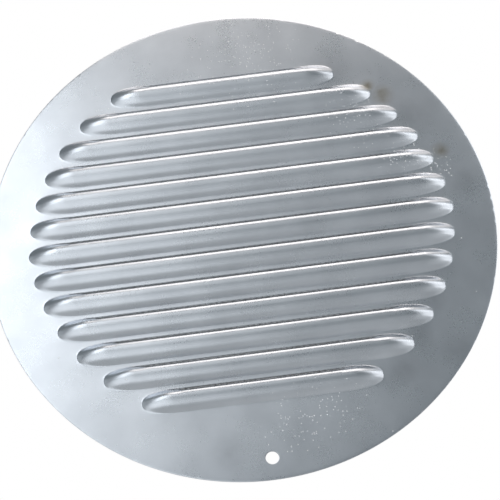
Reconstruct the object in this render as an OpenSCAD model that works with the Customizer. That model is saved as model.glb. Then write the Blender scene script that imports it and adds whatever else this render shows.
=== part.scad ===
// Round louvred air vent plate, pressed from one aluminium sheet, with a fly screen bonded behind it.
// The face looks toward -Y and +Z is up. The origin is the centre of the plate's flat back face.
// Everything is drawn lying on its back, face up (+Z), and on_wall() stands it upright.

/* [Plate] */
// Diameter of the round plate
plate_d = 180; // [176:1:200]
// Thickness of the sheet
sheet_t = 0.8; // [0.6:0.1:1]

/* [Louvres] */
// Number of louvres, one above another
louvre_count = 13; // [3:2:13]
// Distance from one louvre to the next
louvre_pitch = 9.9; // [9.2:0.1:10.5]
// How far the middle louvre sits above the plate's centre
louvre_shift = 1.2; // [0:0.1:1.5]
// Radius of the circle that the louvres fill
field_r = 76; // [72:0.5:76]
// Height of each louvre's crest above the face
crest_h = 2.6; // [2:0.1:3.2]
// Half of the height of sheet that each louvre takes up
louvre_half = 4.3; // [4:0.1:4.5]
// Length of the rounded closed end of each louvre
end_len = 13; // [11:0.5:15]
// Distance from a louvre's tip to the start of its slit
slit_inset = 8.5; // [7:0.5:10]

/* [Screw hole] */
// Diameter of the screw hole
screw_hole_d = 4.6; // [4:0.1:5]
// Distance from the plate's edge to the centre of the screw hole
screw_hole_edge = 7.65; // [6:0.05:8]

/* [Fly screen] */
// Diameter of the wires of the screen
wire_d = 0.4; // [0.3:0.02:0.5]
// Distance from one wire to the next
wire_pitch = 2; // [2:0.5:5]
// Thickness of the band folded round the screen's edge
band_t = 0.3; // [0.2:0.05:0.4]
// Width of the folded band across its face
band_w = 2; // [1.8:0.1:2.2]
// Thickness of the adhesive between the band and the plate
adhesive_t = 0.3; // [0.2:0.1:0.5]

/* [Hidden] */

// Louvre section: the crest's place, the lip's place and the lip's height as a share of the crest's
CREST_Y = 0.9;
LIP_Y = 2.6;
LIP_SHARE = 0.82;
// Ratio of the section's arc radius to its half chord
ARC_RATIO = 1.31;
// Length over which the end rises to full height, and over which the lip opens from the slit's end
DOME_LEN = 11;
LIP_LEN = 7;
// How far the hollow's foot lies inside the louvre's foot, which keeps the pressed sheet's thickness
FOOT_INSET = 0.37;
// Extra depth and width by which the raised and hollow shapes overlap the sheet
OVERLAP = 0.3;
// Where the sections are drawn, as distances from the tip
STATIONS = [0.15, 0.7, 1.8, 3.4, 5.6, 8.5, 10.5, 12.5, 15.5];
// Where the slit's outline has its points, as shares of the length over which the lip opens
SLIT_SHARES = [0, 0.15, 0.3, 0.45, 0.6, 0.8, 1];
// Points along each half of a section
ARC_STEPS = 4;
LIP_STEPS = 2;
// Space between the edge of the louvre field and the band, and the bead's margin inside the band
FIELD_GAP = 0.3;
BEAD_MARGIN = 0.3;
// Free play of the wires in the band's slot, across them and at their ends
SLOT_PLAY = 0.04;
WIRE_END_PLAY = 0.1;
// Facets round the plate, the screw hole and a wire
RING_FACETS = 180;
HOLE_FACETS = 48;
WIRE_FACETS = 16;

plate_r = plate_d / 2;
screw_hole_r = plate_r - screw_hole_edge;
middle_row = (louvre_count - 1) / 2;
// The band's ring starts just outside the louvres, and its slot holds two wires one on the other
band_in_r = field_r + FIELD_GAP;
band_out_r = band_in_r + band_w;
slot_h = 2 * wire_d + SLOT_PLAY;
band_front = -adhesive_t;
band_back = band_front - 2 * band_t - slot_h;
wire_field_r = band_out_r - band_t - WIRE_END_PLAY;
wire_reach = floor((band_in_r - wire_d) / wire_pitch);
slot_mid = (band_front + band_back) / 2;
wire_lift = slot_h / 4;

// Rises from 0 to 1 like a quarter of an ellipse
function quarter(q) = q >= 1 ? 1 : sqrt(1 - pow(1 - q, 2));

// Rises from 0 to 1 with level ends
function ease(q) = let (s = min(max(q, 0), 1)) s * s * (3 - 2 * s);

// Rises from 0 to 1 along a circular arc that is level at 1
function arc(q) = (sqrt(pow(ARC_RATIO, 2) - pow(1 - q, 2)) - sqrt(pow(ARC_RATIO, 2) - 1))
    / (ARC_RATIO - sqrt(pow(ARC_RATIO, 2) - 1));

// Outline, crest and lip of a louvre at distance d from its tip
function edge_y(d) = louvre_half * quarter(d / end_len);
function open_share(d) = ease((d - slit_inset) / LIP_LEN);
function crest_y(d) = CREST_Y * ease(d / DOME_LEN);
function crest_z(d) = crest_h * (1 - pow(1 - min(d / DOME_LEN, 1), 2));
function lip_y(d) = edge_y(d) - (louvre_half - LIP_Y) * open_share(d);
function lip_z(d) = LIP_SHARE * crest_z(d) * open_share(d);

// Section of the louvre's surface from its foot over the crest to the lip, as [y, z] points
function shell_line(d, inset) =
    let (
        foot = inset - edge_y(d),
        lip = lip_y(d) - inset * (1 - open_share(d))
    )
    concat(
        [for (i = [0:ARC_STEPS]) let (q = i / ARC_STEPS)
            [foot + (crest_y(d) - foot) * q, crest_z(d) * arc(q)]],
        [for (i = [LIP_STEPS - 1:-1:0]) let (q = i / LIP_STEPS)
            [lip + (crest_y(d) - lip) * q, lip_z(d) + (crest_z(d) - lip_z(d)) * arc(q)]]
    );

// Closed section: the shell line raised to height z0, with feet that run down to height z1.
// Past an open lip it runs on level, into the space that the slit clears.
function section(d, inset, z0, z1) =
    let (
        top = shell_line(d, inset),
        first = top[0],
        last = top[len(top) - 1],
        open = open_share(d),
        past = OVERLAP + (edge_y(d) - lip_y(d)) / 2
    )
    concat(
        [[first[0] - OVERLAP, z1]],
        [for (p = top) [p[0], p[1] + z0]],
        [[last[0] + past * (1 + open) / 2, open * (last[1] + z0) + (1 - open) * (z0 + z1) / 2]],
        [[last[0] + past, z1]]
    );

// Distance from the left tip of every section of a louvre of half length half_len
function section_places(half_len) = concat(
    [for (d = STATIONS) -half_len + d],
    [for (i = [len(STATIONS) - 1:-1:0]) half_len - STATIONS[i]]
);

// Solid drawn through all the sections of one louvre
module louvre_form(half_len, inset, z0, z1) {
    places = section_places(half_len);
    rings = [for (x = places) section(half_len - abs(x), inset, z0, z1)];
    n = len(rings[0]);
    points = [for (i = [0:len(places) - 1]) for (p = rings[i]) [places[i], p[0], p[1]]];
    sides = [for (i = [0:len(places) - 2]) for (j = [0:n - 1])
        let (a = i * n + j, b = i * n + (j + 1) % n)
        [[a, b, b + n], [a, b + n, a + n]]];
    first_end = [for (j = [n - 1:-1:0]) j];
    last_end = [for (j = [0:n - 1]) (len(places) - 1) * n + j];
    polyhedron(points, concat([for (pair = sides) for (f = pair) f], [first_end], [last_end]));
}

// Clears the slit between the lip and the sheet, through the whole thickness
module slit(half_len) {
    ds = [for (share = SLIT_SHARES) slit_inset + LIP_LEN * share];
    last = len(ds) - 1;
    lip_line = concat(
        [for (d = ds) [d - half_len, lip_y(d)]],
        [for (i = [last:-1:0]) [half_len - ds[i], lip_y(ds[i])]]
    );
    cut_line = concat(
        [for (i = [1:last]) [half_len - ds[i], edge_y(ds[i])]],
        [for (i = [last:-1:1]) [ds[i] - half_len, edge_y(ds[i])]]
    );
    translate([0, 0, -OVERLAP])
        linear_extrude(crest_h + sheet_t + 2 * OVERLAP)
            polygon(concat(lip_line, cut_line));
}

// Half length of the louvre that lies row places from the middle one
function half_length(row) = sqrt(pow(field_r, 2) - pow(abs(row) * louvre_pitch + louvre_half, 2));

// Repeats its children at every louvre, with $half_len set to that louvre's half length
module at_louvres() {
    for (row = [-middle_row:middle_row]) {
        $half_len = half_length(row);
        translate([0, row * louvre_pitch + louvre_shift, 0])
            children();
    }
}

// Turns what is drawn face up to look toward -Y
module on_wall() {
    rotate([90, 0, 0])
        children();
}

// Pressed sheet: a disc with raised louvres, each open along its upper edge, and one screw hole
module louvre_plate() {
    color("#aeb4ba")
        on_wall()
            difference() {
                union() {
                    cylinder(h = sheet_t, r = plate_r, $fn = RING_FACETS);
                    at_louvres()
                        louvre_form($half_len, 0, sheet_t, sheet_t / 2);
                }
                at_louvres()
                    louvre_form($half_len, FOOT_INSET, 0, -OVERLAP);
                at_louvres()
                    slit($half_len);
                translate([0, -screw_hole_r, -OVERLAP])
                    cylinder(h = sheet_t + 2 * OVERLAP, d = screw_hole_d, $fn = HOLE_FACETS);
            }
}

// Ring of cured adhesive between the plate's back and the screen's band
module adhesive_bead() {
    color("#c9c5b8")
        on_wall()
            rotate_extrude($fn = RING_FACETS)
                translate([band_in_r + BEAD_MARGIN, band_front])
                    square([band_w - 2 * BEAD_MARGIN, adhesive_t]);
}

// Thin band folded over the edge of the screen, open toward the centre
module screen_rim_band() {
    color("#9a9fa4")
        on_wall()
            rotate_extrude($fn = RING_FACETS)
                polygon([
                    [band_in_r, band_front],
                    [band_in_r, band_front - band_t],
                    [band_out_r - band_t, band_front - band_t],
                    [band_out_r - band_t, band_back + band_t],
                    [band_in_r, band_back + band_t],
                    [band_in_r, band_back],
                    [band_out_r, band_back],
                    [band_out_r, band_front]
                ]);
}

// Straight wires side by side, each as long as the round screen is wide at its place
module wire_row(height) {
    for (i = [-wire_reach:wire_reach]) {
        half = sqrt(pow(wire_field_r, 2) - pow(i * wire_pitch, 2));
        translate([i * wire_pitch, half, height])
            rotate([90, 0, 0])
                cylinder(h = 2 * half, d = wire_d, $fn = WIRE_FACETS);
    }
}

// Wires that run up and down, next to the plate
module screen_warp_wires() {
    color("#8f9296")
        on_wall()
            wire_row(slot_mid + wire_lift);
}

// Wires that run across, behind the others
module screen_weft_wires() {
    color("#8f9296")
        on_wall()
            rotate([0, 0, 90])
                wire_row(slot_mid - wire_lift);
}

louvre_plate();
adhesive_bead();
screen_rim_band();
screen_warp_wires();
screen_weft_wires();
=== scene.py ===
import bpy
import bmesh
import math
from mathutils import Matrix, Vector, noise
from mathutils.geometry import delaunay_2d_cdt


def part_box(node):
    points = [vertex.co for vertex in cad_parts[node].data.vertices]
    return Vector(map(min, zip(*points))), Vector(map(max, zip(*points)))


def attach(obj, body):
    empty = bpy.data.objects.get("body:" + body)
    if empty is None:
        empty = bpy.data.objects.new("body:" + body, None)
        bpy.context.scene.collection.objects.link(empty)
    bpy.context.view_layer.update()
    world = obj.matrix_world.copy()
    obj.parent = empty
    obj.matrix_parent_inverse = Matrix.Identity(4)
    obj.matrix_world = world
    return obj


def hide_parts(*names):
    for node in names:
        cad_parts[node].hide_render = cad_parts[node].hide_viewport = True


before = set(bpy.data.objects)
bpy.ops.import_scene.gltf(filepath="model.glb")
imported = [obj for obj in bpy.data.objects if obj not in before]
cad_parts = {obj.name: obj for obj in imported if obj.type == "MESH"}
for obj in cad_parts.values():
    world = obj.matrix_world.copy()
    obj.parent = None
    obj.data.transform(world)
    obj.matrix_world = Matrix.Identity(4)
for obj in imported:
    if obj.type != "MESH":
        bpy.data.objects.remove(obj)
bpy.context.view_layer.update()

MM = 0.001

# The pressed plate, in millimetres, as the CAD model has it, with its round edge a little inside that model's
PLATE_LOW, PLATE_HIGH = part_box("louvre_plate")
EDGE_ROOM = 0.03
PLATE_R = PLATE_HIGH[0] / MM - EDGE_ROOM
SHEET_T = 0.8
LOUVRE_ROWS = range(-6, 7)
LOUVRE_PITCH = 9.9
LOUVRE_SHIFT = 1.2
LOUVRE_HALF = 4.3
FIELD_R = 76.0
END_LEN = 13.0
SLIT_INSET = 8.5
DOME_LEN = 11.0
LIP_LEN = 7.0
CREST_Y = 0.9
LIP_Y = 2.6
LIP_SHARE = 0.82
ARC_RATIO = 1.31
HOLE_R = 2.3
HOLE_Y = -82.35

# How far the crests stay below the CAD model's, which leaves room for the sheet's unevenness
CREST_ROOM = 0.12
CREST_H = -PLATE_LOW[1] / MM - SHEET_T - CREST_ROOM

# Unevenness of the pressed sheet: its swell round the louvres' ends, its waviness and its rolled rim
SWELL_H = 0.1
SWELL_INSET = 4.0
SWELL_LEN = 5.5
SWELL_HALF = 4.6
SWELL_REACH = 3
WAVE_H = 0.09
WAVE_LEN = 42.0
WAVE_PLACE = 0.3
RIM_DROP = 0.05
RIM_DROP_LEN = 0.3

# Foot of each louvre: how far its rounding reaches over the flat sheet, how soft it is, the length from the
# tip in which it grows, how much more of it the ends have, and the least reach and span beside the slit
FOOT_REACH = 0.35
FOOT_SOFT = 0.22
FOOT_GROWTH = 4.0
END_SOFTNESS = 2.0
SLIT_REACH = 0.1
LEAST_SPAN = 0.1

# Broken edges of the sheet
BROKEN_EDGE = 0.07
BROKEN_STEPS = 2
SHARP_ANGLE = 50

# How finely the sheet is drawn
RIM_STEPS = 360
HOLE_STEPS = 48
FOOT_STEPS = 4
RISE_STEPS = 14
LIP_STEPS = 6
END_STEPS = 12
OPENING_STEPS = 12
MIDDLE_STEP = 4.0
GRID_STEP = 2.2
CLOSE_ROWS = (0.25, 0.7, 1.4)
CLEARANCE = 0.2
MERGE_GAP = 1e-5

# The screen's band, folded from strip, with small crimps along the inner edge of its back leg
BAND_LOW, BAND_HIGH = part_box("screen_rim_band")
BAND_R = BAND_HIGH[0] / MM
BAND_FRONT = BAND_LOW[1] / MM
BAND_BACK = BAND_HIGH[1] / MM
BAND_W = 2.0
BAND_T = 0.3
BAND_STEPS = 1080
FOLD_R = 0.35
FOLD_STEPS = 5
CORE_R = 0.06
CORE_STEPS = 3
LEG_STEPS = 6
LEG_SHARE = 0.15
CRIMPS = 90
CRIMP_DEPTH = 0.12
CRIMP_SHARPNESS = 8

# The bead of adhesive: its rounded side, as (inset, share of its depth) points, and its unevenness
BEAD_W = 1.4
BEAD_SIDE = [(0.12, 0.0), (0.03, 0.25), (0.0, 0.5), (0.03, 0.75), (0.12, 1.0)]
BEAD_STEPS = 720
SQUEEZE = 0.4
SQUEEZE_WAVES = 9

# The screen's wires
WIRE_LOW, WIRE_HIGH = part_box("screen_weft_wires")
WIRE_D = (WIRE_HIGH[1] - WIRE_LOW[1]) / MM
WIRE_FIELD_R = WIRE_HIGH[0] / MM
WIRE_PITCH = 2.0
WIRE_REACH = 37
WIRE_SIDES = 6
WIRE_STEPS = 4


def place(u, v, w):
    """Place in the scene, from millimetres across, up and out from the middle of the plate's back face."""
    return Vector((u * MM, -w * MM, v * MM))


def smooth_shading(mesh):
    """Shades all faces smooth."""
    mesh.polygons.foreach_set("use_smooth", [True] * len(mesh.polygons))


def new_object(name, data):
    """A new object in the scene with this data."""
    made = bpy.data.objects.new(name, data)
    bpy.context.collection.objects.link(made)
    return made


def mesh_object(name, verts, faces):
    """A new smooth object with this mesh."""
    mesh = bpy.data.meshes.new(name)
    mesh.from_pydata(verts, [], faces)
    smooth_shading(mesh)
    return new_object(name, mesh)


# ---------------------------------------------------------------- the plate's shape

def quarter(q):
    """Rises from 0 to 1 like a quarter of an ellipse."""
    return 1.0 if q >= 1 else math.sqrt(max(1 - (1 - q) ** 2, 0.0))


def ease(q):
    """Rises from 0 to 1 with level ends."""
    s = min(max(q, 0.0), 1.0)
    return s * s * (3 - 2 * s)


def arc(q):
    """Rises from 0 to 1 along a circular arc that is level at 1, and runs on straight below 0."""
    low = math.sqrt(ARC_RATIO ** 2 - 1)
    if q < 0:
        return q / (low * (ARC_RATIO - low))
    return (math.sqrt(ARC_RATIO ** 2 - (1 - q) ** 2) - low) / (ARC_RATIO - low)


def soften(height, width):
    """Height above the sheet with its foot rounded over this width."""
    return (height + math.sqrt(height * height + width * width)) / 2


def half_length(row):
    """Half of the length of the louvre that lies row places above the middle one."""
    return math.sqrt(FIELD_R ** 2 - (abs(row) * LOUVRE_PITCH + LOUVRE_HALF) ** 2)


def row_centre(row):
    """Height of a louvre's middle above the plate's centre."""
    return row * LOUVRE_PITCH + LOUVRE_SHIFT


def half_width(d):
    """Half of a louvre's width on the sheet at distance d from its tip."""
    return LOUVRE_HALF * quarter(d / END_LEN)


def foot_growth(d):
    """How far a louvre's foot is rounded at distance d from its tip: 1 at mid length, more near its ends."""
    return quarter(d / FOOT_GROWTH) * (1 + END_SOFTNESS * (1 - ease(d / END_LEN)))


def swell(u, v):
    """How far the sheet is raised round the louvres' ends."""
    raised = 0.0
    for row in LOUVRE_ROWS:
        dv = (v - row_centre(row)) / SWELL_HALF
        if abs(dv) < SWELL_REACH:
            du = (abs(u) - half_length(row) + SWELL_INSET) / SWELL_LEN
            raised += SWELL_H * math.exp(-du * du - dv * dv)
    return raised


def lift(u, v):
    """How far the sheet stands off its ideal flat."""
    wave = noise.noise(Vector((u / WAVE_LEN, v / WAVE_LEN, WAVE_PLACE)))
    rim = math.exp((math.hypot(u, v) - PLATE_R) / RIM_DROP_LEN)
    return swell(u, v) + WAVE_H * (wave - 1) / 2 - RIM_DROP * rim


class Section:
    """Section of a louvre at distance d from its tip. Its rows are (y, height) points, from low to high y."""

    def __init__(self, d):
        """Works out the section's driving measures at distance d from the tip."""
        self.edge = half_width(d)
        self.opened = ease((d - SLIT_INSET) / LIP_LEN)
        self.crest = CREST_H * (1 - (1 - min(d / DOME_LEN, 1)) ** 2)
        self.crest_y = CREST_Y * ease(d / DOME_LEN)
        self.lip = LIP_SHARE * self.crest * self.opened
        self.lip_y = self.edge - (LOUVRE_HALF - LIP_Y) * self.opened
        self.growth = foot_growth(d)
        self.soft = FOOT_SOFT * self.growth

    def height(self, q):
        """Height at share q of the way from the foot to the crest."""
        return soften(self.crest * arc(q), self.soft)

    def lower_foot(self):
        """Rows from the flat sheet to the louvre's lower edge."""
        reach, rows = FOOT_REACH * self.growth, []
        for i in range(FOOT_STEPS):
            t = i / FOOT_STEPS
            out = reach * (1 - t)
            rows.append((-self.edge - out, self.height(-out / (self.crest_y + self.edge)) * ease(t)))
        return rows

    def rise(self):
        """Rows from the lower edge to the crest."""
        shares = [i / RISE_STEPS for i in range(RISE_STEPS + 1)]
        return [(-self.edge + (self.crest_y + self.edge) * q, self.height(q)) for q in shares]

    def lip_side(self):
        """Rows past the crest to the lip, or to the upper edge where the louvre is closed."""
        rows = []
        for i in range(1, LIP_STEPS + 1):
            q = 1 - i / LIP_STEPS
            height = self.lip + (self.crest - self.lip) * arc(q)
            height += (soften(height, self.soft) - height) * (1 - self.opened)
            rows.append((self.lip_y + (self.crest_y - self.lip_y) * q, height))
        return rows

    def upper_foot(self):
        """Rows from the upper edge to the flat sheet."""
        closed = 1 - self.opened
        reach = max(FOOT_REACH * self.growth * closed, SLIT_REACH * self.growth)
        rows = []
        for i in range(FOOT_STEPS + 1):
            t = i / FOOT_STEPS
            q = -reach * t / max(self.edge - self.crest_y, LEAST_SPAN)
            rows.append((self.edge + reach * t, self.height(q) * closed * ease(1 - t)))
        return rows


def stations(half_len):
    """Distances from the left tip at which a louvre's sections are drawn."""
    turn = math.acos(1 - SLIT_INSET / END_LEN)
    end = [END_LEN * (1 - math.cos(turn * i / END_STEPS)) for i in range(1, END_STEPS + 1)]
    end += [SLIT_INSET + LIP_LEN * i / OPENING_STEPS for i in range(1, OPENING_STEPS + 1)]
    middle = 2 * (half_len - end[-1])
    count = max(2, round(middle / MIDDLE_STEP))
    inner = [end[-1] + middle * i / count for i in range(1, count)]
    return end + inner + [2 * half_len - d for d in reversed(end)]


def sheet_vert(bm, u, v, height=0.0):
    """Adds a point of the sheet's face."""
    return bm.verts.new(place(u, v, SHEET_T + height + lift(u, v)))


def skin(bm, grid):
    """Joins the neighbouring columns of a grid of points with faces."""
    for a, b in zip(grid, grid[1:]):
        for j in range(len(a) - 1):
            bm.faces.new((a[j], b[j], b[j + 1], a[j + 1]))


def close_tip(bm, tip, rim, turn):
    """Joins a louvre's tip to its first or last section. The turn of -1 is for the right end."""
    for a, b in zip(rim, rim[1:]):
        bm.faces.new((tip, a, b)[::turn])


def add_louvre(bm, row):
    """Adds one louvre, open along its slit, and gives its outline on the sheet."""
    half_len, centre = half_length(row), row_centre(row)
    left_tip, right_tip = [sheet_vert(bm, side * half_len, centre) for side in (-1, 1)]
    line = stations(half_len)
    body, upper = [], []
    for i, x in enumerate(line):
        section = Section(min(x, 2 * half_len - x))
        below = section.lower_foot() + section.rise() + section.lip_side()
        above = section.upper_foot()
        column = [sheet_vert(bm, x - half_len, centre + y, h) for y, h in below]
        closed = i < END_STEPS or i >= len(line) - END_STEPS
        cut = column[-1] if closed else sheet_vert(bm, x - half_len, centre + above[0][0], above[0][1])
        body.append(column)
        upper.append([cut] + [sheet_vert(bm, x - half_len, centre + y, h) for y, h in above[1:]])
    skin(bm, body)
    skin(bm, upper)
    close_tip(bm, left_tip, body[0] + upper[0][1:], 1)
    close_tip(bm, right_tip, body[-1] + upper[-1][1:], -1)
    lower_line = [column[0] for column in body]
    upper_line = [column[-1] for column in upper]
    return [left_tip] + lower_line + [right_tip] + upper_line[::-1]


def add_ring(bm, radius, centre_y, count):
    """Adds a circle of points on the sheet's face."""
    turns = [2 * math.pi * i / count for i in range(count)]
    return [sheet_vert(bm, radius * math.cos(a), centre_y + radius * math.sin(a)) for a in turns]


def on_open_sheet(u, v):
    """Whether a point lies on the flat sheet, clear of the louvres, the hole and the rim."""
    if math.hypot(u, v) > PLATE_R - CLEARANCE or math.hypot(u, v - HOLE_Y) < HOLE_R + CLEARANCE:
        return False
    for row in LOUVRE_ROWS:
        d = half_length(row) - abs(u) + CLEARANCE
        off = abs(v - row_centre(row)) - CLEARANCE
        if d > 0 and off < half_width(d) + FOOT_REACH * foot_growth(d):
            return False
    return True


def flat_place(vert):
    """Where a point lies on the sheet, seen from the front, in millimetres."""
    return Vector((vert.co.x, vert.co.z)) / MM


def sheet_points(outlines):
    """Places of the flat sheet's own points: rows close round each outline, and an even grid."""
    points = []
    for outline in outlines:
        flat = [flat_place(v) for v in outline]
        for i, p in enumerate(flat):
            along = flat[(i + 1) % len(flat)] - flat[i - 1]
            out = Vector((along.y, -along.x)).normalized()
            points += [p + out * gap * side for gap in CLOSE_ROWS for side in (-1, 1)]
    rows = math.ceil(PLATE_R / GRID_STEP)
    for i in range(-rows, rows + 1):
        for j in range(-rows, rows + 1):
            points.append(Vector(((i + j % 2 / 2) * GRID_STEP, j * GRID_STEP)))
    return [p for p in points if on_open_sheet(p.x, p.y)]


def outline_edges(outlines):
    """Closed loops of edges round the outlines, whose points are numbered one outline after the other."""
    edges, start = [], 0
    for outline in outlines:
        n = len(outline)
        edges += [(start + i, start + (i + 1) % n) for i in range(n)]
        start += n
    return edges


def fill_sheet(bm, outlines):
    """Fills the flat sheet with triangles, between the rim, which is the first outline, and the others."""
    known = [v for outline in outlines for v in outline]
    owner = [k for k, outline in enumerate(outlines) for _ in outline]
    flat = [flat_place(v) for v in known] + sheet_points(outlines)
    coords, _, faces, origins, _, _ = delaunay_2d_cdt(flat, outline_edges(outlines), [], 0, MERGE_GAP)
    verts, owners = [], []
    for co, origin in zip(coords, origins):
        own = [k for k in origin if k < len(known)]
        verts.append(known[own[0]] if own else sheet_vert(bm, co.x, co.y))
        owners.append(owner[own[0]] if own else None)
    for face in faces:
        kinds = {owners[k] for k in face}
        opening = len(kinds) == 1 and not kinds & {None, 0}
        if not opening:
            bm.faces.new([verts[k] for k in face])


def turn_faces_forward(bm):
    """Makes all faces look the same way, and the flat sheet toward the front."""
    bmesh.ops.recalc_face_normals(bm, faces=bm.faces)
    if max(bm.faces, key=lambda f: f.calc_area()).normal.y > 0:
        bmesh.ops.reverse_faces(bm, faces=bm.faces)


def thicken(piece):
    """Gives the drawn face the sheet's thickness behind it, and breaks the cut edges."""
    solid = piece.modifiers.new("thickness", "SOLIDIFY")
    solid.thickness = SHEET_T * MM
    solid.offset = -1
    edge = piece.modifiers.new("broken_edge", "BEVEL")
    edge.width = BROKEN_EDGE * MM
    edge.segments = BROKEN_STEPS
    edge.limit_method = "ANGLE"
    edge.angle_limit = math.radians(SHARP_ANGLE)
    solid_piece = piece.evaluated_get(bpy.context.evaluated_depsgraph_get())
    piece.data = bpy.data.meshes.new_from_object(solid_piece)
    piece.modifiers.clear()
    smooth_shading(piece.data)


def build_plate():
    """The pressed sheet with its slit louvres, its thickness and its slightly broken edges."""
    bm = bmesh.new()
    outlines = [add_ring(bm, PLATE_R, 0, RIM_STEPS), add_ring(bm, HOLE_R, HOLE_Y, HOLE_STEPS)]
    outlines += [add_louvre(bm, row) for row in LOUVRE_ROWS]
    fill_sheet(bm, outlines)
    turn_faces_forward(bm)
    piece = mesh_object("louvre_plate_sheet", [], [])
    bm.to_mesh(piece.data)
    bm.free()
    thicken(piece)
    return piece


# ---------------------------------------------------------------- the fly screen

def wire_ring(s, i, across):
    """Ring of points round wire i at distance s along it, as (along, side, out from the plate)."""
    sway = WIRE_D / 2 * (-1 if across else 1)
    phase = math.pi * (s / WIRE_PITCH + i)
    slope = -sway * math.pi / WIRE_PITCH * math.sin(phase)
    tilt = math.hypot(1, slope)
    middle = -(BAND_FRONT + BAND_BACK) / 2 + sway * math.cos(phase)
    ring = []
    for j in range(WIRE_SIDES):
        a = 2 * math.pi * (j + 0.5) / WIRE_SIDES
        side, out = WIRE_D / 2 * math.cos(a), WIRE_D / 2 * math.sin(a)
        ring.append((s - out * slope / tilt, side, middle + out / tilt))
    return ring


def tube_faces(start, count):
    """Sides and two ends of a tube whose rings of points begin at this index."""
    faces = []
    for k in range(count):
        for j in range(WIRE_SIDES):
            a, b = start + k * WIRE_SIDES + j, start + k * WIRE_SIDES + (j + 1) % WIRE_SIDES
            faces.append((a, b, b + WIRE_SIDES, a + WIRE_SIDES))
    faces.append([start + j for j in reversed(range(WIRE_SIDES))])
    faces.append([start + count * WIRE_SIDES + j for j in range(WIRE_SIDES)])
    return faces


def build_wires(name, across):
    """One layer of the woven screen: wires that bend over and under the other layer's."""
    verts, faces = [], []
    for i in range(-WIRE_REACH, WIRE_REACH + 1):
        offset = i * WIRE_PITCH
        half = math.sqrt(WIRE_FIELD_R ** 2 - offset ** 2)
        count = round(2 * half / WIRE_PITCH * WIRE_STEPS)
        faces += tube_faces(len(verts), count)
        for k in range(count + 1):
            for along, side, w in wire_ring(-half + 2 * half * k / count, i, across):
                verts.append(place(along, offset - side, w) if across else place(offset + side, along, w))
    return mesh_object(name, verts, faces)


def spun_ring(name, profile, count, shift):
    """Closed ring of a profile of (radius, depth) points, each moved by shift(angle, index) as it turns."""
    verts, faces = [], []
    n = len(profile)
    for i in range(count):
        a = 2 * math.pi * i / count
        for k, (radius, depth) in enumerate(profile):
            out, back = shift(a, k)
            verts.append(place((radius + out) * math.cos(a), (radius + out) * math.sin(a), -depth - back))
    for i in range(count):
        j = (i + 1) % count
        for k in range(n):
            m = (k + 1) % n
            faces.append((i * n + k, i * n + m, j * n + m, j * n + k))
    return mesh_object(name, verts, faces)


def bend_points(radius, depth, r, steps):
    """Quarter turn of radius r that ends square at this outer radius and depth."""
    turns = [math.pi / 2 * i / steps for i in range(steps + 1)]
    return [(radius - r + r * math.sin(a), depth - r + r * math.cos(a)) for a in turns]


def crimp(angle, k):
    """Shift of point k of the band's profile: the back leg is nipped in at each crimp, most at its edge."""
    if k >= LEG_STEPS:
        return 0, 0
    nip = max(0.0, math.cos(angle * CRIMPS)) ** CRIMP_SHARPNESS
    return 0, -CRIMP_DEPTH * nip * (1 - k / LEG_STEPS)


def build_band():
    """Band folded round the screen's edge: rounded folds, and a back leg that is slightly crimped."""
    middle, half = (BAND_FRONT + BAND_BACK) / 2, (BAND_BACK - BAND_FRONT) / 2
    leg = [BAND_R - BAND_W + BAND_W * LEG_SHARE * i for i in range(LEG_STEPS)]
    core = half - BAND_T
    skin_half = [(r, half) for r in leg] + bend_points(BAND_R, half, FOLD_R, FOLD_STEPS)
    core_half = [(r, core) for r in leg] + bend_points(BAND_R - BAND_T, core, CORE_R, CORE_STEPS)
    profile = [(r, middle + h) for r, h in skin_half]
    profile += [(r, middle - h) for r, h in reversed(skin_half)]
    profile += [(r, middle - h) for r, h in core_half]
    profile += [(r, middle + h) for r, h in reversed(core_half)]
    return spun_ring("screen_rim_band_folded", profile, BAND_STEPS, crimp)


def squeeze(angle, k):
    """Shift of point k of the bead's profile: each side stays unevenly short of the bead's full width."""
    outer_side = k < len(BEAD_SIDE)
    turn = Vector((math.cos(angle), math.sin(angle), 0)) * SQUEEZE_WAVES
    short = abs(noise.noise(turn + Vector((0, 0, k // len(BEAD_SIDE))))) * SQUEEZE
    return -short if outer_side else short, 0


def build_bead():
    """Cured bead of adhesive, squeezed a little unevenly between the band and the plate."""
    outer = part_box("adhesive_bead")[1].x / MM
    inner = outer - BEAD_W
    profile = [(outer - inset, share * BAND_FRONT) for inset, share in BEAD_SIDE]
    profile += [(inner + inset, share * BAND_FRONT) for inset, share in reversed(BEAD_SIDE)]
    return spun_ring("adhesive_bead_cured", profile, BEAD_STEPS, squeeze)


# ---------------------------------------------------------------- materials

ALUMINIUM = (0.72, 0.752, 0.80, 1)
ALUMINIUM_DULL = (0.625, 0.655, 0.70, 1)
TARNISH = (0.20, 0.18, 0.13, 1)
# Dark smudge colour, which also paints the shade beside the louvres' right ends
SMUDGE_AND_SHADE = (0.33, 0.35, 0.38, 1)
DUST = (0.97, 0.97, 0.97, 1)
STRIP = (0.66, 0.67, 0.69, 1)
STRIP_DULL = (0.52, 0.53, 0.55, 1)
GALVANISED = (0.50, 0.51, 0.53, 1)
GALVANISED_DULL = (0.34, 0.35, 0.36, 1)
ADHESIVE = (0.74, 0.72, 0.65, 1)
ADHESIVE_AGED = (0.62, 0.59, 0.50, 1)

# Marks on the plate: across, up and radius in millimetres
STAINS = [(58.0, 49.0, 5.8), (53.0, 53.5, 3.8), (75.0, 23.5, 4.5)]
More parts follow.
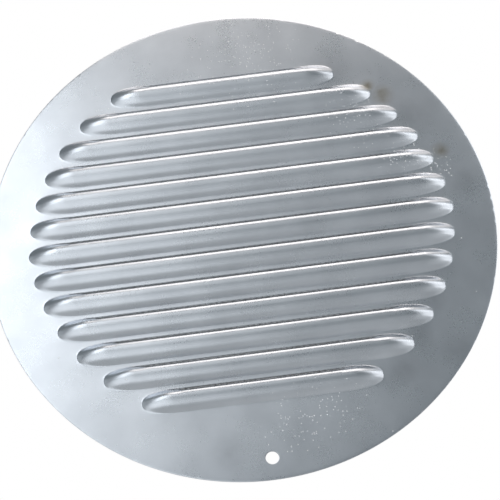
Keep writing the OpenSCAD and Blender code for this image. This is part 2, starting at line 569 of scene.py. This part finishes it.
# Dark smudges: partly real grime, partly painted shade beside the louvres' right ends
SMUDGE_AND_SHADE_SPOTS = [(62.5, -34.0, 6.5), (55.5, -45.0, 7.0), (48.5, -57.0, 8.0), (82.0, 10.0, 9.0), (70.0, -54.0, 10.0),
           (40.0, 62.0, 14.0), (66.0, 40.0, 12.0), (-14.0, -78.0, 9.0)]
SPECKLED = [(10.0, 70.0, 26.0), (45.0, 40.0, 17.0), (60.0, 22.0, 13.0), (24.0, -66.0, 13.0),
            (8.0, -72.0, 16.0), (72.0, 18.0, 10.0), (-45.0, 57.0, 6.0), (-31.0, -57.0, 5.0),
            (-43.0, -47.0, 5.0)]

# How strongly the marks show: colour of stains and of the smudges with their painted shade, extra roughness
# of stains
STAIN_SHARE = 0.95
SMUDGE_AND_SHADE_SHARE = 0.35
STAIN_ROUGHNESS = 0.12

# White specks: their spacing, their core and edge as shares of it, how many cells hold one, and their look
SPECK_PITCH = 0.75
SPECK_CORE = 0.14
SPECK_EDGE = 0.30
SPECK_SHARE = 0.4
STRAY_SPECK_SHARE = 0.001
SPECK_METALLIC = 0.6

# Shares of a noise texture's range between which it is stretched
NOISE_LOW = 0.3
NOISE_HIGH = 0.7


def new_material(name):
    """A node material, with its tree and its main shader."""
    material = bpy.data.materials.new(name)
    material.use_nodes = True
    return material, material.node_tree, material.node_tree.nodes["Principled BSDF"]


def feed(tree, socket, value):
    """Sets a socket to a value, or links another node's output to it."""
    if isinstance(value, bpy.types.NodeSocket):
        tree.links.new(value, socket)
    else:
        socket.default_value = value


def add_node(tree, kind, inputs=None, **settings):
    """A new node. Each input is a value to set or another node's output to link."""
    made = tree.nodes.new(kind)
    for key, value in settings.items():
        setattr(made, key, value)
    for key, value in (inputs or {}).items():
        feed(tree, made.inputs[key], value)
    return made


def maths(tree, operation, a, b):
    """Result of a sum, product or comparison of two numbers."""
    return add_node(tree, "ShaderNodeMath", {0: a, 1: b}, operation=operation).outputs[0]


def remap(tree, value, from_low, from_high, to_low, to_high, kind="LINEAR"):
    """A number moved from one range to another, and kept within it."""
    inputs = {"Value": value, "From Min": from_low, "From Max": from_high}
    inputs.update({"To Min": to_low, "To Max": to_high})
    return add_node(tree, "ShaderNodeMapRange", inputs, interpolation_type=kind).outputs[0]


def mix_colour(tree, factor, a, b):
    """Colour a where the factor is 0, and b where it is 1."""
    return add_node(tree, "ShaderNodeMix", {0: factor, 6: a, 7: b}, data_type="RGBA").outputs[2]


def millimetres(tree):
    """Places on the object, in millimetres."""
    coords = add_node(tree, "ShaderNodeTexCoord")
    inputs = {0: coords.outputs["Object"], 1: (1 / MM, 1 / MM, 1 / MM)}
    return add_node(tree, "ShaderNodeVectorMath", inputs, operation="MULTIPLY").outputs[0]


def clouds(tree, mm, size, low=0.0, high=1.0, detail=2.0):
    """Cloudy noise with features of this size in millimetres, which runs between two values."""
    cloud = add_node(tree, "ShaderNodeTexNoise", {"Vector": mm, "Scale": 1 / size, "Detail": detail})
    return remap(tree, cloud.outputs[0], NOISE_LOW, NOISE_HIGH, low, high)


def relief(tree, height, strength, depth, under=None):
    """Bumps of this depth in millimetres, on top of other bumps if there are any."""
    inputs = {"Height": height, "Strength": strength, "Distance": depth * MM}
    if under:
        inputs["Normal"] = under
    return add_node(tree, "ShaderNodeBump", inputs).outputs[0]


def spot(tree, mm, across, up, radius):
    """1 at a spot on the plate's face, falling smoothly to 0 at its radius."""
    inputs = {0: mm, 1: (across, -SHEET_T, up)}
    gap = add_node(tree, "ShaderNodeVectorMath", inputs, operation="DISTANCE")
    return remap(tree, gap.outputs["Value"], 0.0, radius, 1.0, 0.0, kind="SMOOTHSTEP")


def spots(tree, mm, marks):
    """The largest of several spots, each (across, up, radius)."""
    total = spot(tree, mm, *marks[0])
    for mark in marks[1:]:
        total = maths(tree, "MAXIMUM", total, spot(tree, mm, *mark))
    return total


def specks(tree, mm):
    """1 on small round specks, which are close together in the speckled areas and rare elsewhere."""
    cells = add_node(tree, "ShaderNodeTexVoronoi", {"Vector": mm, "Scale": 1 / SPECK_PITCH})
    dot = remap(tree, cells.outputs["Distance"], SPECK_CORE, SPECK_EDGE, 1.0, 0.0)
    chance = add_node(tree, "ShaderNodeSeparateColor", {0: cells.outputs["Color"]}).outputs[0]
    density = maths(tree, "MULTIPLY", spots(tree, mm, SPECKLED), SPECK_SHARE)
    density = maths(tree, "ADD", density, STRAY_SPECK_SHARE)
    return maths(tree, "MULTIPLY", dot, maths(tree, "LESS_THAN", chance, density))


def sheet_colour(tree, mm, stain, smudge_and_shade, speck):
    """Bare metal with dull patches, then stains, smudges that are partly painted shade, and specks."""
    colour = mix_colour(tree, clouds(tree, mm, size=16.0, detail=4.0), ALUMINIUM, ALUMINIUM_DULL)
    colour = mix_colour(tree, maths(tree, "MULTIPLY", stain, STAIN_SHARE), colour, TARNISH)
    # Smudges: partly grime, partly painted shade beside the louvres' right ends
    colour = mix_colour(tree, maths(tree, "MULTIPLY", smudge_and_shade, SMUDGE_AND_SHADE_SHARE), colour, SMUDGE_AND_SHADE)
    return mix_colour(tree, speck, colour, DUST)


def sheet_roughness(tree, mm, stain):
    """Satin finish that varies in broad patches and in fine grain, and is rougher on stains."""
    broad = clouds(tree, mm, size=12.0, low=0.26, high=0.29, detail=4.0)
    fine = clouds(tree, mm, size=0.5, low=0.0, high=0.03)
    rough = maths(tree, "ADD", broad, fine)
    return maths(tree, "ADD", rough, maths(tree, "MULTIPLY", stain, STAIN_ROUGHNESS))


def sheet_material():
    """Mill-finish aluminium: satin grain, cloudy dull patches, tarnish stains, dark smudges that are partly
    painted shade, and white corrosion specks.
    """
    material, tree, shader = new_material("mill_aluminium")
    mm = millimetres(tree)
    patch = clouds(tree, mm, size=3.0, low=0.5, detail=3.0)
    stain = maths(tree, "MULTIPLY", spots(tree, mm, STAINS), patch)
    # Smudge mask, which also carries painted shade beside the louvres' right ends
    smudge_and_shade = maths(tree, "MULTIPLY", spots(tree, mm, SMUDGE_AND_SHADE_SPOTS), patch)
    speck = specks(tree, mm)
    grain = relief(tree, clouds(tree, mm, size=0.45, detail=3.0), strength=0.06, depth=0.02)
    bumps = relief(tree, speck, strength=0.8, depth=0.1, under=grain)
    feed(tree, shader.inputs["Base Color"], sheet_colour(tree, mm, stain, smudge_and_shade, speck))
    feed(tree, shader.inputs["Metallic"], remap(tree, speck, 0.0, 1.0, 1.0, SPECK_METALLIC))
    feed(tree, shader.inputs["Roughness"], sheet_roughness(tree, mm, stain))
    feed(tree, shader.inputs["Normal"], bumps)
    return material


def band_material():
    """Thin drawn aluminium strip, with fine grain and dull patches."""
    material, tree, shader = new_material("drawn_aluminium_strip")
    mm = millimetres(tree)
    colour = mix_colour(tree, clouds(tree, mm, size=8.0, detail=4.0), STRIP, STRIP_DULL)
    feed(tree, shader.inputs["Base Color"], colour)
    feed(tree, shader.inputs["Metallic"], 1.0)
    feed(tree, shader.inputs["Roughness"], clouds(tree, mm, size=4.0, low=0.3, high=0.48))
    feed(tree, shader.inputs["Normal"], relief(tree, clouds(tree, mm, size=0.3), strength=0.3, depth=0.03))
    return material


def wire_material():
    """Galvanised wire, brighter and duller from place to place."""
    material, tree, shader = new_material("galvanised_wire")
    mm = millimetres(tree)
    colour = mix_colour(tree, clouds(tree, mm, size=6.0, detail=4.0), GALVANISED, GALVANISED_DULL)
    feed(tree, shader.inputs["Base Color"], colour)
    feed(tree, shader.inputs["Metallic"], 1.0)
    feed(tree, shader.inputs["Roughness"], clouds(tree, mm, size=1.0, low=0.32, high=0.5))
    return material


def bead_material():
    """Cured adhesive, slightly uneven in colour and lumpy."""
    material, tree, shader = new_material("cured_adhesive")
    mm = millimetres(tree)
    colour = mix_colour(tree, clouds(tree, mm, size=3.0), ADHESIVE, ADHESIVE_AGED)
    feed(tree, shader.inputs["Base Color"], colour)
    feed(tree, shader.inputs["Roughness"], clouds(tree, mm, size=1.5, low=0.35, high=0.6))
    feed(tree, shader.inputs["Normal"], relief(tree, clouds(tree, mm, size=0.8), strength=0.5, depth=0.1))
    return material


# ---------------------------------------------------------------- camera, lights, stage

# Camera: lens and sensor in millimetres, distance in metres, angles in degrees
CAMERA_LENS = 116.85
CAMERA_SENSOR = 36.0
CAMERA_NEAR = 0.01
CAMERA_DISTANCE = 0.5726
CAMERA_AZIMUTH = -1.52
CAMERA_ELEVATION = -23.87
CAMERA_ROLL = -7.79
CAMERA_AIM = place(2.0, -6.2, SHEET_T)

# Studio, in metres: the panels' distance from the plate and their colours, the light of the room around and
# of the painted shade behind the screen, and the floor. The gap behind the screen is in millimetres.
PANEL_DISTANCE = 0.45
WHITE = (1, 1, 1)
WARM = (1.0, 0.91, 0.85)
COOL = (0.95, 0.98, 1.0)
STUDIO_GREY = 0.19
STUDIO_TINT = (0.88, 1.0, 1.06, 1)
BACKDROP = (1, 1, 1, 1)
# Painted shade: how bright the studio looks to the camera through the screen
SHADE_BEHIND_SCREEN = 0.1
BEHIND_GAP = 1.0
DISC_STEPS = 96
FLOOR_Z = -0.7
FLOOR_HALF = 20.0
FLOOR_CELLS = 8
FLOOR_COLOUR = (0.8, 0.8, 0.8, 1)
FLOOR_ROUGHNESS = 0.8
FLOOR_GLOW = 0.2
FLOOR_SEEN = 0.5


def toward(azimuth, elevation):
    """Unit vector from the plate. Azimuth 0 is straight out of its face, and grows to the right."""
    az, el = math.radians(azimuth), math.radians(elevation)
    return Vector((math.sin(az) * math.cos(el), -math.cos(az) * math.cos(el), math.sin(el)))


def facing(offset, centre):
    """Place of a camera or light at this offset from a centre, looking at it."""
    turn = (-offset).to_track_quat("-Z", "Y").to_matrix().to_4x4()
    return Matrix.Translation(centre + offset) @ turn


def add_camera():
    """Camera that looks up at the plate from below, rolled a little."""
    data = bpy.data.cameras.new("camera")
    data.lens = CAMERA_LENS
    data.sensor_width = CAMERA_SENSOR
    data.clip_start = CAMERA_NEAR
    offset = toward(CAMERA_AZIMUTH, CAMERA_ELEVATION) * CAMERA_DISTANCE
    roll = Matrix.Rotation(math.radians(CAMERA_ROLL), 4, "Z")
    camera = new_object("camera", data)
    camera.matrix_world = facing(offset, CAMERA_AIM) @ roll
    bpy.context.scene.camera = camera


def add_panel(name, azimuth, elevation, width, height, brightness, colour=WHITE):
    """Soft studio panel that faces the plate, with angles in degrees and sizes in metres."""
    data = bpy.data.lights.new(name, "AREA")
    data.shape = "RECTANGLE"
    data.size = width
    data.size_y = height
    data.energy = brightness * math.pi * width * height
    data.color = colour
    panel = new_object(name, data)
    panel.matrix_world = facing(toward(azimuth, elevation) * PANEL_DISTANCE, Vector())
    panel.visible_camera = False


def add_lights():
    """A bright key from the left that fades to the right, warm light from above and dim soft fills."""
    # Name, azimuth, elevation, width, height, brightness and colour
    add_panel("key_left", -26, 22, 0.12, 0.28, 2.0, COOL)
    add_panel("key", -12, 22, 0.09, 0.26, 0.85)
    add_panel("key_fade", 2, 21, 0.11, 0.24, 0.38)
    add_panel("top", 12, 62, 0.28, 0.24, 2.1, WARM)
    add_panel("top_right", 70, 60, 0.2, 0.2, 0.9, WARM)
    add_panel("right_upper", 48, 32, 0.2, 0.14, 1.1)
    add_panel("right", 55, 8, 0.26, 0.34, 1.1)
    add_panel("right_low", 45, -22, 0.25, 0.25, 0.2)
    add_panel("left", -62, 8, 0.12, 0.3, 0.4, COOL)
    add_panel("low", -24, -18, 0.3, 0.36, 0.78, COOL)
    add_panel("back_top", 180, 55, 0.7, 0.4, 2.0)


def add_world():
    """Plain grey studio, which the camera sees as white except through the screen, where it is dimmed as
    painted shade.
    """
    world = bpy.data.worlds.new("studio")
    world.use_nodes = True
    tree = world.node_tree
    path = add_node(tree, "ShaderNodeLightPath")
    camera_ray = path.outputs["Is Camera Ray"]
    # Painted shade: the studio is dimmed where the camera looks through the clear disc behind the screen
    through = maths(tree, "GREATER_THAN", path.outputs["Transparent Depth"], 0.5)
    seen = remap(tree, through, 0.0, 1.0, 1.0, SHADE_BEHIND_SCREEN)
    strength = add_node(tree, "ShaderNodeMix", {0: camera_ray, 2: STUDIO_GREY, 3: seen})
    background = tree.nodes["Background"]
    feed(tree, background.inputs["Strength"], strength.outputs[0])
    feed(tree, background.inputs["Color"], mix_colour(tree, camera_ray, STUDIO_TINT, BACKDROP))
    bpy.context.scene.world = world


def add_stage(name, bm, matrix, material):
    """A new object from this mesh, with this material, at this place."""
    mesh = bpy.data.meshes.new(name)
    bm.to_mesh(mesh)
    bm.free()
    mesh.materials.append(material)
    piece = new_object(name, mesh)
    piece.matrix_world = matrix


def add_painted_shade_behind():
    """Clear disc just behind the screen. Through it the camera sees the studio dimly, as painted shade behind
    the slits.
    """
    bm = bmesh.new()
    bmesh.ops.create_circle(bm, cap_ends=True, segments=DISC_STEPS, radius=WIRE_FIELD_R * MM)
    upright = Matrix.Rotation(math.pi / 2, 4, "X")
    behind = Matrix.Translation((0, (BAND_BACK + BEHIND_GAP) * MM, 0))
    material, tree, _ = new_material("clear")
    clear = add_node(tree, "ShaderNodeBsdfTransparent")
    feed(tree, tree.nodes["Material Output"].inputs["Surface"], clear.outputs[0])
    add_stage("painted_shade_behind", bm, behind @ upright, material)


def add_floor():
    """Plain pale floor, well below the plate. It glows a little, and more where the camera sees it."""
    bm = bmesh.new()
    bmesh.ops.create_grid(bm, x_segments=FLOOR_CELLS, y_segments=FLOOR_CELLS, size=FLOOR_HALF)
    material, tree, shader = new_material("pale_floor")
    path = add_node(tree, "ShaderNodeLightPath")
    glow = remap(tree, path.outputs["Is Camera Ray"], 0.0, 1.0, FLOOR_GLOW, FLOOR_SEEN)
    feed(tree, shader.inputs["Base Color"], FLOOR_COLOUR)
    feed(tree, shader.inputs["Roughness"], FLOOR_ROUGHNESS)
    feed(tree, shader.inputs["Emission Color"], BACKDROP)
    feed(tree, shader.inputs["Emission Strength"], glow)
    add_stage("floor", bm, Matrix.Translation((0, 0, FLOOR_Z)), material)


# ---------------------------------------------------------------- putting it together

def dress(piece, material, cad_node):
    """Gives a piece its material and its place in the frame."""
    piece.data.materials.clear()
    piece.data.materials.append(material)
    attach(piece, "root")
    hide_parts(cad_node)


bpy.context.scene.view_settings.view_transform = "Standard"
add_camera()
wire = wire_material()
dress(build_plate(), sheet_material(), "louvre_plate")
dress(build_band(), band_material(), "screen_rim_band")
dress(build_wires("screen_warp_woven", False), wire, "screen_warp_wires")
dress(build_wires("screen_weft_woven", True), wire, "screen_weft_wires")
dress(build_bead(), bead_material(), "adhesive_bead")
add_lights()
add_world()
add_painted_shade_behind()
add_floor()
